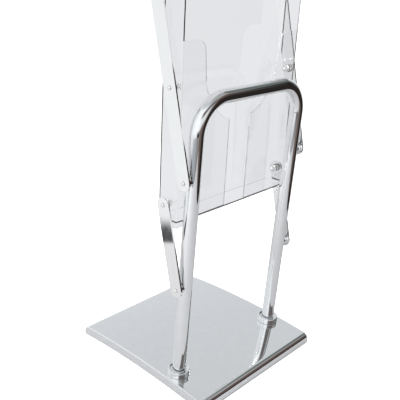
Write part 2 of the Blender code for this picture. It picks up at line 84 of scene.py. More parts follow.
def span(node, place):
    """Lowest and highest corner of a CAD node, in a sub-assembly's frame."""
    inverse = place.inverted()
    corners = [inverse @ v.co for v in NODES[node].data.vertices]
    low = Vector(min(c[i] for c in corners) for i in range(3))
    high = Vector(max(c[i] for c in corners) for i in range(3))
    return low, high


POCKET_TILT = math.radians(2.0)  # the pocket hangs this much further back than the legs
LEG_UP = (JOINTS["mast_fold"] - JOINTS["lower_link_swing"]).normalized()
POCKET_UP = Matrix.Rotation(-POCKET_TILT, 3, "X") @ LEG_UP
BAR_UP = (JOINTS["pocket_level"] - JOINTS["mast_fold"]).normalized()

BASE = Matrix.Identity(4)
COLLAR_MIDDLE = sum(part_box("collar_left"), Vector()) / 2
LEGS = frame_at((0, COLLAR_MIDDLE.y, COLLAR_MIDDLE.z), LEG_UP)
LINK = frame_at(JOINTS["lower_link_swing"], BAR_UP)
MAST = frame_at(JOINTS["mast_fold"], BAR_UP)
POCKET = frame_at(JOINTS["pocket_level"], POCKET_UP)
ROD = frame_at(JOINTS["desk_tilt"], BAR_UP)
DESK = frame_at(JOINTS["desk_tilt"], MOUNTS["desk_face"]["axis"])


def ends(low, high):
    """How far from the lectern's middle plane a piece's outer and inner ends are."""
    return max(abs(low.x), abs(high.x)), min(abs(low.x), abs(high.x))


def beside(low, high, x):
    """A piece's middle, moved sideways to x."""
    return (x, (low.y + high.y) / 2, (low.z + high.z) / 2)


def standing(place, low, high):
    """A frame's copy at the middle of a piece's foot."""
    return place @ Matrix.Translation(((low.x + high.x) / 2, (low.y + high.y) / 2, low.z))


def facing(place, side, at):
    """A frame at a point of another, with Z towards the lectern's outside on that side."""
    return place @ Matrix.Translation(at) @ Matrix.Rotation(side * math.pi / 2, 4, "Y")


# ---- Materials ----


NOISE_LOW, NOISE_HIGH = 0.3, 0.7  # where nearly all of a noise pattern's values lie


class Nodes:
    """A new material's node tree, with the Principled shader and the object's own coordinates."""

    def __init__(self, name):
        self.material = bpy.data.materials.new(name)
        self.material.use_nodes = True
        self.tree = self.material.node_tree
        self.shader = self.tree.nodes["Principled BSDF"]
        self.place = self.tree.nodes.new("ShaderNodeTexCoord").outputs["Object"]

    def link(self, source, target):
        self.tree.links.new(source, target)

    def noise(self, scale, detail=2.0, stretch=(1, 1, 1)):
        """A noise pattern with this many waves a metre, drawn out along the axes with a small stretch."""
        mapping = self.tree.nodes.new("ShaderNodeMapping")
        mapping.inputs["Scale"].default_value = stretch
        texture = self.tree.nodes.new("ShaderNodeTexNoise")
        texture.inputs["Scale"].default_value = scale
        texture.inputs["Detail"].default_value = detail
        self.link(self.place, mapping.inputs["Vector"])
        self.link(mapping.outputs["Vector"], texture.inputs["Vector"])
        return texture.outputs["Fac"]

    def roughness(self, fac, low, high):
        """The shader's roughness, from low to high as the pattern goes from dark to light."""
        node = self.tree.nodes.new("ShaderNodeMapRange")
        node.inputs["From Min"].default_value = NOISE_LOW
        node.inputs["From Max"].default_value = NOISE_HIGH
        node.inputs["To Min"].default_value = low
        node.inputs["To Max"].default_value = high
        self.link(fac, node.inputs["Value"])
        self.link(node.outputs["Result"], self.shader.inputs["Roughness"])

    def base_colour(self, fac, low, high):
        """The shader's base colour, from low to high as the pattern goes from dark to light."""
        node = self.tree.nodes.new("ShaderNodeValToRGB")
        node.color_ramp.elements[0].position = NOISE_LOW
        node.color_ramp.elements[1].position = NOISE_HIGH
        node.color_ramp.elements[0].color = (*low, 1)
        node.color_ramp.elements[1].color = (*high, 1)
        self.link(fac, node.inputs["Fac"])
        self.link(node.outputs["Color"], self.shader.inputs["Base Color"])

    def bump(self, fac, height, strength=1.0):
        """Relief of this height in metres."""
        node = self.tree.nodes.new("ShaderNodeBump")
        node.inputs["Distance"].default_value = height
        node.inputs["Strength"].default_value = strength
        self.link(fac, node.inputs["Height"])
        self.link(node.outputs["Normal"], self.shader.inputs["Normal"])

    def set(self, **values):
        for name, value in values.items():
            self.shader.inputs[name.replace("_", " ")].default_value = value


def chrome(name, tone, roughness, wave):
    """Bright plate: a trace of buffing haze and the slight waviness of polished steel."""
    nodes = Nodes(name)
    nodes.set(Metallic=1.0)
    haze = nodes.noise(60, 3)
    dull = tuple(0.97 * c for c in tone)
    nodes.base_colour(haze, dull, tone)
    nodes.roughness(haze, 0.7 * roughness, 1.3 * roughness)
    nodes.bump(nodes.noise(14, 1), wave)
    return nodes.material


def steel(name, tone, grain):
    """Zinc-plated or plain steel with a rolled grain."""
    nodes = Nodes(name)
    nodes.set(Metallic=1.0)
    lines = nodes.noise(900, 4, grain)
    low = tuple(0.8 * c for c in tone)
    nodes.base_colour(lines, low, tone)
    nodes.roughness(lines, 0.28, 0.46)
    nodes.bump(lines, 0.00002)
    return nodes.material


def acrylic(name, low, high, roughness, clarity=1.0):
    """Clear cast acrylic with the faintest unevenness of tint and polish."""
    nodes = Nodes(name)
    nodes.set(Transmission_Weight=clarity, IOR=1.42)
    nodes.base_colour(nodes.noise(9, 2), low, high)
    nodes.roughness(nodes.noise(40, 3), 0.5 * roughness, 1.5 * roughness)
    nodes.bump(nodes.noise(7, 1), 0.00003)
    return nodes.material


def nylon():
    """Natural white nylon with a fine mottle."""
    nodes = Nodes("nylon_natural")
    mottle = nodes.noise(700, 3)
    nodes.set(IOR=1.53)
    nodes.base_colour(mottle, (0.74, 0.73, 0.69), (0.82, 0.81, 0.78))
    nodes.roughness(mottle, 0.38, 0.52)
    nodes.bump(mottle, 0.00003)
    return nodes.material


def rubber():
    """Black rubber with a moulded grain."""
    nodes = Nodes("rubber_black")
    grain = nodes.noise(1500, 4)
    nodes.base_colour(grain, (0.012, 0.012, 0.013), (0.030, 0.030, 0.032))
    nodes.roughness(grain, 0.62, 0.85)
    nodes.bump(grain, 0.00006)
    return nodes.material


MIRROR = chrome("chrome_sheet", (0.86, 0.87, 0.88), 0.035, 0.00002)
TUBE = chrome("chrome_tube", (0.86, 0.87, 0.88), 0.030, 0.00001)
BAR = chrome("chrome_bar", (0.90, 0.90, 0.90), 0.060, 0.00002)
BRIGHT = chrome("bright_fastener", (0.86, 0.86, 0.85), 0.050, 0.00001)
ZINC = steel("zinc_steel", (0.56, 0.56, 0.55), (1, 1, 0.05))
PLATE = steel("ballast_steel", (0.34, 0.34, 0.35), (0.04, 1, 1))
CLEAR = acrylic("acrylic_clear", (0.985, 0.987, 0.990), (0.995, 0.996, 0.998), 0.012)
CUT_EDGE = acrylic("acrylic_cut_edge", (0.84, 0.86, 0.88), (0.92, 0.93, 0.94), 0.30, clarity=0.3)
NYLON = nylon()
RUBBER = rubber()
LOOKS = {
    "chrome": MIRROR, "bright_fastener": BRIGHT, "fastener_steel": ZINC, "ballast_steel": PLATE,
    "clear_acrylic": CLEAR, "nylon": NYLON, "rubber": RUBBER,
}


# ---- Mesh tools ----


def finish_mesh(bm, name, place, looks):
    """A new object from a bmesh in a sub-assembly's frame. Large faces stay flat beside rounds."""
    bmesh.ops.recalc_face_normals(bm, faces=bm.faces)
    bmesh.ops.transform(bm, matrix=place, verts=bm.verts)
    mesh = bpy.data.meshes.new(name)
    bm.to_mesh(mesh)
    bm.free()
    for look in looks:
        mesh.materials.append(look)
    mesh.shade_smooth()
    mesh.set_sharp_from_angle(angle=SHARP_ANGLE)
    obj = bpy.data.objects.new(name, mesh)
    bpy.context.scene.collection.objects.link(obj)
    weighted = obj.modifiers.new("flat_faces", "WEIGHTED_NORMAL")
    weighted.keep_sharp = True
    return obj


def stands_for(obj, body, slot, *nodes):
    """obj rides on the body and replaces those CAD nodes. The slot is not used."""
    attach(obj, body)
    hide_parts(*nodes)
    return obj


def arc(centre, radius, start, end, steps):
    """Points on an arc, angles in degrees."""
    angles = (math.radians(start + (end - start) * i / steps) for i in range(steps + 1))
    return [(centre[0] + radius * math.cos(a), centre[1] + radius * math.sin(a)) for a in angles]


def rounded(corners, closed=False, steps=5):
    """The line through these (x, y, radius) corners, each corner with a radius rounded by an arc."""
    points = []
    count = len(corners)
    for i, (x, y, radius) in enumerate(corners):
        here = Vector((x, y))
        if radius == 0 or (not closed and i in (0, count - 1)):
            points.append(here)
            continue
        before = (Vector(corners[i - 1][:2]) - here).normalized()
        after = (Vector(corners[(i + 1) % count][:2]) - here).normalized()
        half = before.angle(after) / 2
        middle = here + (before + after).normalized() * radius / math.sin(half)
        reach = radius / math.tan(half)
        first, last = here + before * reach - middle, here + after * reach - middle
        sweep = first.angle_signed(last)
        for step in range(steps + 1):
            turn = Matrix.Rotation(-sweep * step / steps, 2)
            points.append(middle + turn @ first)
    return [tuple(p) for p in points]


def revolve(profile, steps=SMOOTH_STEPS, shape=None):
    """A closed body from (radius, height) points turned round Z. shape(i, angle) scales a radius."""
    bm = bmesh.new()
    rings = []
    for i, (radius, height) in enumerate(profile):
        if radius <= 0:
            rings.append([bm.verts.new((0, 0, height))])
            continue
        ring = []
        for step in range(steps):
            angle = 2 * math.pi * step / steps
            r = radius * (shape(i, angle) if shape else 1)
            ring.append(bm.verts.new((r * math.cos(angle), r * math.sin(angle), height)))
        rings.append(ring)
    pairs = list(zip(rings, rings[1:]))
    if profile[0][0] > 0 and profile[-1][0] > 0:
        pairs.append((rings[-1], rings[0]))
    for low, high in pairs:
        for step in range(steps):
            after = (step + 1) % steps
            corners = ((low, step), (low, after), (high, after), (high, step))
            bm.faces.new(list(dict.fromkeys(ring[i % len(ring)] for ring, i in corners)))
    return bm


def bridge(bm, ring, other):
    """Faces between two closed rings of as many points."""
    for i in range(len(ring)):
        after = (i + 1) % len(ring)
        bm.faces.new((ring[i], ring[after], other[after], other[i]))


def evaluated_mesh(obj):
    """A new mesh with the object's modifiers or curve settings applied."""
    graph = bpy.context.evaluated_depsgraph_get()
    return bpy.data.meshes.new_from_object(obj.evaluated_get(graph))


def plate(outlines, thickness, start=0.0, edge=0.0, segments=3):
    """A flat piece with eased edges, from start up. The first XY outline is outside, the rest holes."""
    curve = bpy.data.curves.new("plate", "CURVE")
    curve.dimensions = "2D"
    curve.fill_mode = "BOTH"
    curve.extrude = thickness / 2
    for outline in outlines:
        spline = curve.splines.new("POLY")
        spline.points.add(len(outline) - 1)
        for point, (x, y) in zip(spline.points, outline):
            point.co = (x, y, 0, 1)
        spline.use_cyclic_u = True
    holder = bpy.data.objects.new("plate", curve)
    bpy.context.scene.collection.objects.link(holder)
    bpy.context.view_layer.update()
    mesh = evaluated_mesh(holder)
    bpy.data.objects.remove(holder)
    bpy.data.curves.remove(curve)
    bm = bmesh.new()
    bm.from_mesh(mesh)
    bpy.data.meshes.remove(mesh)
    bmesh.ops.remove_doubles(bm, verts=bm.verts, dist=MERGE)
    bmesh.ops.dissolve_limit(bm, angle_limit=math.radians(0.5), verts=bm.verts, edges=bm.edges)
    bmesh.ops.translate(bm, vec=(0, 0, start + thickness / 2), verts=bm.verts)
    if edge:
        shared = [e for e in bm.edges if len(e.link_faces) == 2]
        rims = [e for e in shared if e.calc_face_angle() > RIM_ANGLE]
        bmesh.ops.bevel(bm, geom=rims, offset=edge, segments=segments, profile=0.5, affect="EDGES")
    return bm


YZ = Matrix(((0, 0, 1, 0), (1, 0, 0, 0), (0, 1, 0, 0), (0, 0, 0, 1)))  # an XY outline stood up in YZ
XZ = Matrix(((1, 0, 0, 0), (0, 0, -1, 0), (0, 1, 0, 0), (0, 0, 0, 1)))  # an XY outline stood up in XZ


def combined(bm, other, operation):
    """One bmesh cut by, or joined to, another."""
    holders = []
    for part in (bm, other):
        mesh = bpy.data.meshes.new("part")
        bmesh.ops.recalc_face_normals(part, faces=part.faces)
        part.to_mesh(mesh)
        part.free()
        holders.append(bpy.data.objects.new("part", mesh))
        bpy.context.scene.collection.objects.link(holders[-1])
    body, tool = holders
    modifier = body.modifiers.new("cut", "BOOLEAN")
    modifier.operation = operation
    modifier.object = tool
    bpy.context.view_layer.update()
    mesh = evaluated_mesh(body)
    made = bmesh.new()
    made.from_mesh(mesh)
    for holder in holders:
        bpy.data.objects.remove(holder)
    bmesh.ops.dissolve_limit(made, angle_limit=math.radians(0.1), verts=made.verts, edges=made.edges)
    return made


# ---- Base ----

BASE_EDGE = 0.021  # height of the cover's skirt
COVER_SHEET = 0.002
SIDE_FILLET = 0.0025  # the fold along the left and right edges
END_ROUND = 0.016  # the rolled front and rear edges
ARCH_STEPS = 48
ROLL_STEPS = 12
FOLD_STEPS = 6


def cover_section(low, high):
    """The cover's outer line from foot to foot, as (y, z) points with normals, and the foot's height by y."""
    half, crown = (high.y - low.y) / 2, high.z
    radius = half**2 / (2 * (crown - low.z - BASE_EDGE))
    slope = -math.asin((half - END_ROUND) / radius)
    join = -(half - END_ROUND) + END_ROUND * math.sin(slope)
    centre = Vector((-(half - END_ROUND), crown - join**2 / (2 * radius) - END_ROUND * math.cos(slope)))
    front = [(Vector((-half, low.z)), Vector((-1, 0)))]
    for step in range(ROLL_STEPS + 1):
        angle = math.pi + (math.pi / 2 + slope) * -step / ROLL_STEPS
        normal = Vector((math.cos(angle), math.sin(angle)))
        front.append((centre + normal * END_ROUND, normal))
    top = []
    for step in range(1, ARCH_STEPS):
        y = join * (1 - 2 * step / ARCH_STEPS)
        top.append((Vector((y, crown - y**2 / (2 * radius))), Vector((y / radius, 1)).normalized()))
    rear = [(Vector((-p.x, p.y)), Vector((-n.x, n.y))) for p, n in reversed(front)]
    return front + top + rear, lambda y: crown - BASE_EDGE - y**2 / (2 * radius)


def build_base():
    """The arched cover: its section drawn out across the base, folded down at the sides."""
    low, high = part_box("base_cover")
    section, foot = cover_section(low, high)
    columns = []  # (x, how far the section is drawn in)
    for step in range(FOLD_STEPS + 1):
        turn = math.pi / 2 * step / FOLD_STEPS
        reach = high.x - SIDE_FILLET + SIDE_FILLET * math.sin(turn)
        columns.append((reach, SIDE_FILLET * (1 - math.cos(turn))))
    columns = [(-x, inset) for x, inset in reversed(columns)] + columns
    bm = bmesh.new()
    grid = [[bm.verts.new((x, *(p - n * inset))) for p, n in section] for x, inset in columns]
    for line in grid:
        line[0].co.z = line[-1].co.z = low.z
    for left, right in zip(grid, grid[1:]):
        for i in range(len(section) - 1):
            bm.faces.new((left[i], right[i], right[i + 1], left[i + 1]))
    for rim in (grid[0], grid[-1]):
        feet = [rim[0], *(bm.verts.new((v.co.x, v.co.y, foot(v.co.y))) for v in rim[2:-2]), rim[-1]]
        for i, (a, b) in enumerate(zip(feet, feet[1:])):
            bm.faces.new((a, b, rim[i + 2], rim[i + 1]))
    cover = finish_mesh(bm, "cover_sheet", BASE, [MIRROR])
    sheet = cover.modifiers.new("sheet", "SOLIDIFY")
    sheet.thickness = COVER_SHEET
    sheet.offset = -1
    sheet.use_even_offset = True
    cover.modifiers.move(1, 0)
    stands_for(cover, "root", "chrome", "base_cover")


FOOT_HEIGHT = 0.0045  # the pad, without its shoulder and stem
FOOT_SHOULDER = 0.0060
FOOT_STEM = 0.8  # the stem's radius, as a share of the pad's
FOOT_SHORT = 0.0015  # how far the stem ends below the CAD foot's top
GROOVE = (0.30, 0.36, 0.56, 0.62)  # radii of the tread's ring groove, as shares of the pad's
GROOVE_DEPTH = 0.0008


def build_feet():
    """Rubber feet: a turned pad with a ring groove in its tread, on a stem."""
    for node in ("foot_front_left", "foot_front_right", "foot_rear_left", "foot_rear_right"):
        low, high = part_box(node)
        r, top = (high.x - low.x) / 2, high.z - low.z
        depths = (0, GROOVE_DEPTH, GROOVE_DEPTH, 0)
        groove = [(share * r, depth, EASE) for share, depth in zip(GROOVE, depths)]
        stem, end = FOOT_STEM * r, top - FOOT_SHORT
        profile = rounded([
            (0, 0, 0), *groove, (r, 0, SOFT_EDGE), (r, FOOT_HEIGHT, SOFT_EDGE),
            (stem, FOOT_SHOULDER, SOFT_EDGE), (stem, end, 0.0005), (0, end, 0),
        ], steps=4)
        pad = finish_mesh(revolve(profile, 40), f"{node}_pad", standing(BASE, low, high), [RUBBER])
        stands_for(pad, "root", "rubber", node)


# ---- Hoop and its fittings ----

BEND_R = 0.064
TUBE_WALL = 0.002
BEND_STEPS = 28
LEG_STEPS = 10


def hoop_line(leg_x, foot, top):
    """The hoop's centre line as ((x, z), direction) up the left leg, over and down the right."""
    inner, bend_z = leg_x - BEND_R, top - BEND_R
    line = [((-leg_x, foot + (bend_z - foot) * i / LEG_STEPS), 90) for i in range(LEG_STEPS)]
    for centre_x, start in ((-inner, 180), (inner, 90)):
        for i in range(BEND_STEPS + 1):
            angle = start - 90 * i / BEND_STEPS
            turn = math.radians(angle)
            line.append(((centre_x + BEND_R * math.cos(turn), bend_z + BEND_R * math.sin(turn)), angle - 90))
    line += [((leg_x, bend_z + (foot - bend_z) * i / LEG_STEPS), -90) for i in range(1, LEG_STEPS + 1)]
    return line


def build_hoop():
    """The bent tube: an outer and an inner skin along one line, joined at the legs' ends."""
    low, high = span("hoop_tube", LEGS)
    outer = (high.y - low.y) / 2
    line = hoop_line(high.x - outer, low.z, high.z - outer)
    bm = bmesh.new()
    skins = []
    for radius in (outer, outer - TUBE_WALL):
        rings = []
        for (x, z), heading in line:
            aside = Vector((-math.sin(math.radians(heading)), 0, math.cos(math.radians(heading))))
            ring = []
            for step in range(SMOOTH_STEPS):
                angle = 2 * math.pi * step / SMOOTH_STEPS
                out = aside * math.cos(angle) + Vector((0, math.sin(angle), 0))
                ring.append(bm.verts.new(Vector((x, 0, z)) + radius * out))
            rings.append(ring)
        skins.append(rings)
        for ring, other in zip(rings, rings[1:]):
            bridge(bm, ring, other)
    for end in (0, -1):
        bridge(bm, skins[0][end], skins[1][end])
    tube = finish_mesh(bm, "hoop_tube_bent", LEGS, [TUBE])
    stands_for(tube, "root", "chrome", "hoop_tube")


COLLAR_WALL = 0.0092  # from its bore to its outside
COLLAR_RIM = 0.0042  # breadth of the raised rim's top
COLLAR_SLOPE = 0.0008  # how much broader the rim is at its foot
COLLAR_RECESS = 0.0042  # depth inside the rim
COLLAR_FALL = 0.0006  # how much deeper the recess is at the bore


def build_collars():
    """Turned rings with a raised rim, where the legs enter the base."""
    for name, _ in SIDES:
        low, high = span(f"collar_{name}", LEGS)
        r, height = (high.x - low.x) / 2, high.z - low.z
        bore, rim, seat = r - COLLAR_WALL, r - COLLAR_RIM, height - COLLAR_RECESS
        profile = rounded([
            (bore, 0, 0), (r, 0, 0.0006), (r, height, 0.0016), (rim, height, 0.0012),
            (rim - COLLAR_SLOPE, seat, 0.0012), (bore, seat - COLLAR_FALL, 0),
        ])
        place = standing(LEGS, low, high)
        collar = finish_mesh(revolve(profile, 96), f"collar_ring_{name}", place, [TUBE])
        stands_for(collar, "root", "chrome", f"collar_{name}")


PIVOT_HOLE = 0.0028
LUG_BORE = 0.0062  # depth of the thread for the pivot's screw
LUG_FLOOR = 0.0004  # metal left under the bore where the leg is nearest
LUG_RINGS = (0.9, 0.8, 0.6, 0.4, 0.2, 0)  # rings of points on the inner end, as shares of the radius


def build_lugs():
    """Bosses whose inner ends follow the leg's surface."""
    tube_low, tube_high = span("hoop_tube", LEGS)
    tube_r = (tube_high.y - tube_low.y) / 2
    leg_x = tube_high.x - tube_r
    for side_name, side in SIDES:
        for level in LEVELS:
            node = f"lug_{level}_{side_name}"
            low, high = span(node, LEGS)
            r, y = (high.z - low.z) / 2, (low.y + high.y) / 2
            face, _ = ends(low, high)
            depth = face - leg_x

            def saddle(across):
                return math.sqrt(max((tube_r + GAP) ** 2 - (y + across) ** 2, 0)) - depth

            profile = rounded([
                (PIVOT_HOLE, -LUG_BORE, 0), (PIVOT_HOLE, 0, EASE), (r, 0, SOFT_EDGE), (r, -depth, 0),
            ])
            rings = [(r * share, -depth) for share in LUG_RINGS]
            bm = revolve([(0, -LUG_BORE), *profile, *rings], 72)
            for vertex in bm.verts:
                if vertex.co.z < -LUG_BORE - LUG_FLOOR / 2:
                    deepest = min(saddle(vertex.co.y), -LUG_BORE - LUG_FLOOR)
                    vertex.co.z = max(vertex.co.z, deepest)
            place = facing(LEGS, side, beside(low, high, side * face))
            lug = finish_mesh(bm, f"{node}_boss", place, [TUBE])
            stands_for(lug, "root", "chrome", node)


# ---- Screws, nuts, spacers and knobs ----

SCREW_R = 0.0025
SCREW_TIP = 0.0004  # the bevel at a screw's end
SOCKET_R = 0.0015
SOCKET_DEPTH = 0.0013
SOCKET_RIM = 0.0003  # the flat round a button head's socket
BUTTON_HEIGHT = 0.0030
BUTTON_RIM = 0.0005  # the straight side under a button head's dome
BUTTON_EASE = 0.0002
SUNK_RIM = 0.0004  # the straight side over a countersunk head's cone
SUNK_EASE = 0.0001


def hexagon(angle):
    """How far a hexagon reaches at this angle, over its reach at the middle of a side."""
    part = 2 * math.pi / HEX_SIDES
    return 1 / math.cos((angle + part / 2) % part - part / 2)


def screw(head, top, reach):
    """A screw from its head's profile, with a hexagon socket in its top and its shank's end at -reach."""
    socket = [(0, top - SOCKET_DEPTH), (SOCKET_R, top - SOCKET_DEPTH), (SOCKET_R, top)]
    shank = [(SCREW_R, SCREW_TIP - reach), (SCREW_R - SCREW_TIP, -reach), (0, -reach)]
    return revolve([*socket, *head, *shank], 48, lambda i, angle: hexagon(angle) if i in (1, 2) else 1)


def button_screw(head_r, reach):
    """A button-head screw. Its head sits on Z = 0."""
    drop = BUTTON_HEIGHT - BUTTON_RIM
    dome_r = (head_r**2 + drop**2) / (2 * drop)
    first = math.degrees(math.acos((SOCKET_R + SOCKET_RIM) / dome_r))
    last = math.degrees(math.acos(head_r / dome_r)) if head_r < dome_r else 0
    dome = arc((0, BUTTON_HEIGHT - dome_r), dome_r, first, last, 10)
    under = [(head_r, BUTTON_EASE), (head_r - BUTTON_EASE, 0), (SCREW_R, 0)]
    return screw(dome + under, BUTTON_HEIGHT, reach)


def sunk_screw(head_r, reach):
    """A countersunk screw. Its flat top is at Z = 0."""
    flat = [(head_r - SUNK_EASE, 0), (head_r, -SUNK_EASE), (head_r, -SUNK_RIM)]
    return screw([*flat, (SCREW_R, -SUNK_RIM - head_r + SCREW_R)], 0, reach)


def build_screws():
    """The eight pivots' screws."""
    for side_name, side in SIDES:
        for level in LEVELS:
            for kind, place, body in (("lug_screw", LEGS, "root"), ("pocket_screw", POCKET, "pocket")):
                node = f"{kind}_{level}_{side_name}"
                low, high = span(node, place)
                outer, inner = ends(low, high)
                seat = outer - BUTTON_HEIGHT
                bm = button_screw((high.z - low.z) / 2, seat - inner)
                seated = facing(place, side, beside(low, high, side * seat))
                made = finish_mesh(bm, f"{node}_button", seated, [BRIGHT])
                stands_for(made, body, "bright_fastener", node)


NUT_BORE = 0.0075  # depth of a dome nut's thread
NUT_FLANGE = 0.0016
NUT_NECK = 0.0022  # where the flange ends at the dome
NUT_DOME = 0.8  # the dome's radius, as a share of the flange's


def build_pocket_fittings():
    """Nylon washers outside the pocket's walls and flanged dome nuts inside them."""
    for side_name, side in SIDES:
        for level in LEVELS:
            node = f"pocket_spacer_{level}_{side_name}"
            low, high = span(node, POCKET)
            r, thick = (high.z - low.z) / 2, high.x - low.x
            _, inner = ends(low, high)
            profile = rounded([
                (PIVOT_HOLE, 0, EASE), (r, 0, SOFT_EDGE), (r, thick, SOFT_EDGE), (PIVOT_HOLE, thick, EASE),
            ], closed=True)
            place = facing(POCKET, side, beside(low, high, side * inner))
            washer = finish_mesh(revolve(profile, 48), f"{node}_washer", place, [NYLON])
            stands_for(washer, "pocket", "nylon", node)

            node = f"dome_nut_{level}_{side_name}"
            low, high = span(node, POCKET)
            flange, height = (high.z - low.z) / 2, high.x - low.x
            dome = NUT_DOME * flange
            seat, _ = ends(low, high)
            body = rounded([
                (PIVOT_HOLE, NUT_BORE, 0), (PIVOT_HOLE, 0, EASE), (flange, 0, 0.0004),
                (flange, NUT_FLANGE, 0.0006), (dome, NUT_NECK, 0.0004), (dome, height - dome, 0),
            ])
            cap = arc((0, height - dome), dome, 8, 90, 12)[:-1]
            bm = revolve([(0, NUT_BORE), *body, *cap, (0, height)], 56)
            place = facing(POCKET, -side, beside(low, high, side * seat))
            nut = finish_mesh(bm, f"{node}_cap", place, [BRIGHT])
            stands_for(nut, "pocket", "bright_fastener", node)


# ---- Bars ----

BAR_EASE = 0.0006  # rounding of the bars' edges
STUD_HOLE = 0.0043


def round_end_bar(width, low, high):
    """A bar's outline with round ends, from one end's tip to the other's."""
    r = width / 2
    return [*arc((0, low + r), r, 180, 360, 36), *arc((0, high - r), r, 0, 180, 36)]


def build_bars():
    """The lower links and the mast's bars, all with round ends and drilled for their pivots."""
    link_length = (JOINTS["pocket_level"] - JOINTS["mast_fold"]).length
    for side_name, _ in SIDES:
        for node, place, body in (("lower_link", LINK, "lower_links"), ("mast_bar", MAST, "mast")):
            node = f"{node}_{side_name}"
            low, high = span(node, place)
            outlines = [round_end_bar(high.y - low.y, low.z, high.z)]
            outlines += [arc((0, z), PIVOT_HOLE, 0, 360, 24)[:-1] for z in (0, link_length)]
            if body == "mast":
                top = high.z - (high.y - low.y) / 2
                outlines.append(arc((0, top), STUD_HOLE, 0, 360, 24)[:-1])
            bm = plate(outlines, high.x - low.x, low.x, BAR_EASE)
            bar = finish_mesh(bm, f"{node}_flat", place @ YZ, [BAR])
            stands_for(bar, body, "chrome", node)


# ---- Pocket ----

SHEET = 0.003
BEND = 0.0045  # outer radius of the pocket's folds
TOE_X = 0.1470  # the front corners run on below the floor from here outwards
TOE_DEPTH = 0.0220
EAR_TOP = 0.0807  # heights are from the pocket's upper pivots
EAR_EDGE = 0.1070
EAR_CORNER = 0.0220
EAR_FOOT = (0.1010, 0.0008)
SCOOP_END = (0.0385, -0.0710)
SCOOP_R = 0.109
SLOT_HALF = 0.0313
SLOT_CORNER = 0.0060
OPENING_DEPTH = 0.03  # from before the front wall to well inside the pocket
FLOOR_CORNER = 0.0015
FOLD_CUTS = 8


def arc_between(start, end, radius, steps):
    """The shorter arc from start to end that bulges to the right of the way there."""
    a, b = Vector(start), Vector(end)
    half = (b - a) / 2
    rise = math.sqrt(radius**2 - half.length_squared)
    centre = a + half + Vector((-half.y, half.x)).normalized() * rise
    first, last = a - centre, b - centre
    from_angle = math.degrees(math.atan2(first.y, first.x))
    sweep = math.degrees(first.angle_signed(last))
    return arc(centre, radius, from_angle, from_angle - sweep, steps)


def flap_opening(half, low, high, bottom):
    """What is cut from the pocket's front: between the toes, the slot, the scoop, and above the ears."""
    right = [
        (TOE_X, low - OVERRUN),
        (TOE_X, bottom),
        (SLOT_HALF, bottom),
        *arc((SLOT_HALF + SLOT_CORNER, SCOOP_END[1] - SLOT_CORNER), SLOT_CORNER, 180, 100, 10),
        *arc_between(SCOOP_END, EAR_FOOT, SCOOP_R, 28)[1:],
        *arc((EAR_EDGE + EAR_CORNER, EAR_TOP - EAR_CORNER), EAR_CORNER, 180, 90, 20),
        (half - SHEET, EAR_TOP),
        (half - SHEET, high + OVERRUN),
    ]
    return right + [(-x, z) for x, z in reversed(right)]


def folded_sheet(low, high):
    """The pocket's wall: a closed loop of sheet with four round folds, standing on its edge."""
    bm = bmesh.new()
    rings = []
    for inset in (0, SHEET):
        radius = BEND - inset
        x, front, back = high.x - inset, low.y + inset, high.y - inset
        loop = []
        for cx, cy, start in ((x, back, 0), (-x, back, 90), (-x, front, 180), (x, front, 270)):
            middle = (cx - math.copysign(radius, cx), cy - math.copysign(radius, cy))
            loop += arc(middle, radius, start, start + 90, FOLD_CUTS)
        rings += [[bm.verts.new((*p, z)) for p in loop] for z in (low.z, high.z)]
    for a, b in ((0, 1), (2, 3), (0, 2), (1, 3)):
        bridge(bm, rings[a], rings[b])
    return bm


def mark_cut_edges(bm, flat, front):
    """Gives the sheet's sawn edges their own look: all that don't face the way a wall faces."""
    for face in bm.faces:
        middle = face.calc_center_median()
        in_front = middle.y < front + SHEET + GAP and abs(middle.x) < flat
        sawn = abs(face.normal.z) > 0.5 or (in_front and abs(face.normal.y) < 0.5)
        face.material_index = 1 if sawn else 0


def build_pocket_shell():
    """The folded sheet, with its front cut out, its lower edge raised behind the toes, and drilled."""
    low, high = span("pocket_shell", POCKET)
    foot = span("pocket_floor", POCKET)[0].z
    shell = folded_sheet(low, high)
    opening = plate([flap_opening(high.x, low.z, high.z, foot)], OPENING_DEPTH)
    bmesh.ops.transform(opening, matrix=XZ, verts=opening.verts)
    bmesh.ops.translate(opening, vec=(0, low.y + OVERRUN, 0), verts=opening.verts)
    shell = combined(shell, opening, "DIFFERENCE")
    toe, rear, below = low.y + TOE_DEPTH, high.y + OVERRUN, low.z - OVERRUN
    behind = [(toe, below), (rear, below), (rear, foot), (toe, foot)]
    under = plate([behind], 2 * (high.x + OVERRUN), -high.x - OVERRUN)
    bmesh.ops.transform(under, matrix=YZ, verts=under.verts)
    shell = combined(shell, under, "DIFFERENCE")
    screw_low, screw_high = span("pocket_screw_lower_left", POCKET)
    lower = (screw_low + screw_high) / 2
    for y, z in ((0, 0), (lower.y, lower.z)):
        reach = high.x + OVERRUN
        drill = revolve([(0, -reach), (PIVOT_HOLE, -reach), (PIVOT_HOLE, reach), (0, reach)], 32)
        bmesh.ops.transform(drill, matrix=facing(BASE, 1, (0, y, z)), verts=drill.verts)
        shell = combined(shell, drill, "DIFFERENCE")
    mark_cut_edges(shell, high.x - SHEET - BEND, low.y)
    body = finish_mesh(shell, "pocket_sheet", POCKET, [CLEAR, CUT_EDGE])
    stands_for(body, "pocket", "clear_acrylic", "pocket_shell")


